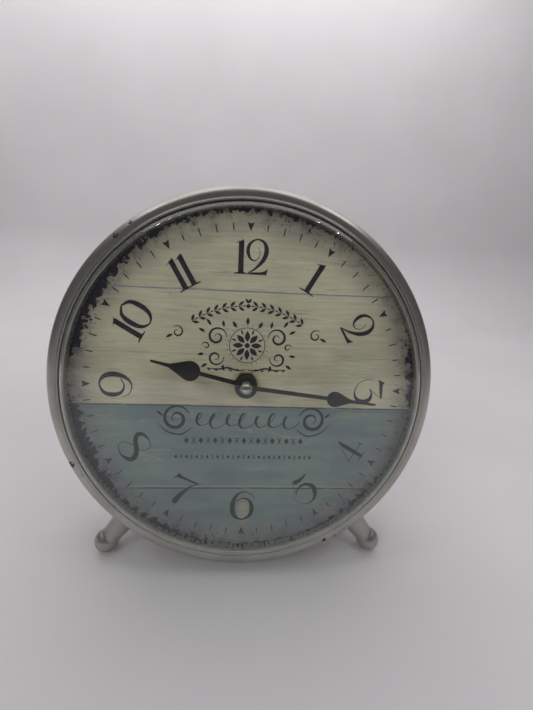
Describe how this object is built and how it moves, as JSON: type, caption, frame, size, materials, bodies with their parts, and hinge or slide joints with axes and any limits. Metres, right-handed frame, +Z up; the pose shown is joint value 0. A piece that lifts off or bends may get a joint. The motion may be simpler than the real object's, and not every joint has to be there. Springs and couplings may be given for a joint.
{
  "type": "table clock",
  "caption": "Free-standing round table clock: spun silver drum case on two turned feet, domed glass, printed dial, black spade hands and a battery movement.",
  "frame": {"origin": "on the ground, under the middle of the clock's box", "axes": "+Z up, the dial faces -Y and leans back 6 degrees, +X is to the right of the dial"},
  "size_m": [0.168, 0.0762, 0.1712],
  "materials": {
    "satin_silver": "satin silver paint over spun steel, lightly worn",
    "glass": "clear domed glass",
    "clear_gasket": "soft translucent plastic",
    "dial_paper": "printed paper, matt varnish, distressed edge",
    "hardboard": "brown hardboard",
    "black_rubber": "matt black rubber",
    "black_hand": "satin black paint",
    "polished_steel": "polished plating",
    "brass": "bare brass, slightly tarnished",
    "black_plastic": "fine spark-eroded black plastic",
    "white_plastic": "natural acetal",
    "zinc_steel": "zinc-plated steel",
    "copper_wire": "enamelled copper wire",
    "circuit_green": "green solder mask",
    "battery_wrap": "plain printed sleeve with bare metal ends"
  },
  "bodies": {
    "case": {"case_drum": "satin_silver", "front_ring": "satin_silver", "rear_ring": "satin_silver", "bezel_ring": "satin_silver", "lens": "glass", "lens_gasket": "clear_gasket", "dial_paper": "dial_paper", "dial_plate": "hardboard", "rubber_washer": "black_rubber", "centre_nut": "brass", "movement_housing": "black_plastic", "train_bridge": "black_plastic", "movement_cover": "black_plastic", "motor_stator": "zinc_steel", "motor_coil": "copper_wire", "circuit_board": "circuit_green", "quartz_crystal": "zinc_steel", "contact_positive": "zinc_steel", "contact_negative": "zinc_steel", "back_cover": "satin_silver", "cover_screw_1": "zinc_steel", "cover_screw_2": "zinc_steel", "cover_screw_3": "zinc_steel", "cover_screw_4": "zinc_steel", "foot_left": "satin_silver", "foot_right": "satin_silver", "foot_nut_left": "zinc_steel", "foot_nut_right": "zinc_steel", "rear_bumper": "black_rubber"},
    "minute_motion": {"minute_hand": "black_hand", "minute_arbor": "polished_steel", "cap_nut": "polished_steel"},
    "hour_motion": {"hour_hand": "black_hand", "hour_wheel": "white_plastic"},
    "minute_wheel_and_knob": {"minute_wheel": "white_plastic", "set_knob": "white_plastic"},
    "rotor_body": {"rotor": "white_plastic"},
    "intermediate_body": {"intermediate_wheel": "white_plastic"},
    "second_body": {"second_wheel": "white_plastic"},
    "third_body": {"third_wheel": "white_plastic"},
    "centre_body": {"centre_wheel": "brass"},
    "battery_body": {"battery": "battery_wrap"}
  },
  "joints": [
    {"name": "minute_hand_turn", "type": "hinge", "parent": "case", "child": "minute_motion", "pos_m": [0, -0.01704, 0.09011], "axis": [0, 0.9945, -0.1045], "continuous": true},
    {"name": "hour_hand_turn", "type": "hinge", "parent": "case", "child": "hour_motion", "pos_m": [0, -0.01704, 0.09011], "axis": [0, 0.9945, -0.1045], "continuous": true},
    {"name": "minute_wheel_turn", "type": "hinge", "parent": "case", "child": "minute_wheel_and_knob", "pos_m": [0.00919, -0.00649, 0.09676], "axis": [0, 0.9945, -0.1045], "continuous": true},
    {"name": "rotor_turn", "type": "hinge", "parent": "case", "child": "rotor_body", "pos_m": [-0.00474, -0.00541, 0.10703], "axis": [0, 0.9945, -0.1045], "continuous": true},
    {"name": "intermediate_wheel_turn", "type": "hinge", "parent": "case", "child": "intermediate_body", "pos_m": [-0.00172, -0.00628, 0.09879], "axis": [0, 0.9945, -0.1045], "continuous": true},
    {"name": "second_wheel_turn", "type": "hinge", "parent": "case", "child": "second_body", "pos_m": [0, -0.01704, 0.09011], "axis": [0, 0.9945, -0.1045], "continuous": true},
    {"name": "third_wheel_turn", "type": "hinge", "parent": "case", "child": "third_body", "pos_m": [-0.00954, -0.00712, 0.09076], "axis": [0, 0.9945, -0.1045], "continuous": true},
    {"name": "centre_wheel_turn", "type": "hinge", "parent": "case", "child": "centre_body", "pos_m": [0, -0.01704, 0.09011], "axis": [0, 0.9945, -0.1045], "continuous": true},
    {"name": "battery_slide", "type": "slide", "parent": "case", "child": "battery_body", "axis": [0, 0.9945, -0.1045], "range_m": [0, 0.045]}
  ],
  "couplings": [
    {"joint": "hour_hand_turn", "follows": "minute_hand_turn", "ratio": 0.083333},
    {"joint": "minute_wheel_turn", "follows": "minute_hand_turn", "ratio": -0.33333},
    {"joint": "intermediate_wheel_turn", "follows": "rotor_turn", "ratio": -0.16667},
    {"joint": "second_wheel_turn", "follows": "rotor_turn", "ratio": 0.033333},
    {"joint": "third_wheel_turn", "follows": "rotor_turn", "ratio": -0.0044444},
    {"joint": "centre_wheel_turn", "follows": "rotor_turn", "ratio": 0.00055556}
  ]
}
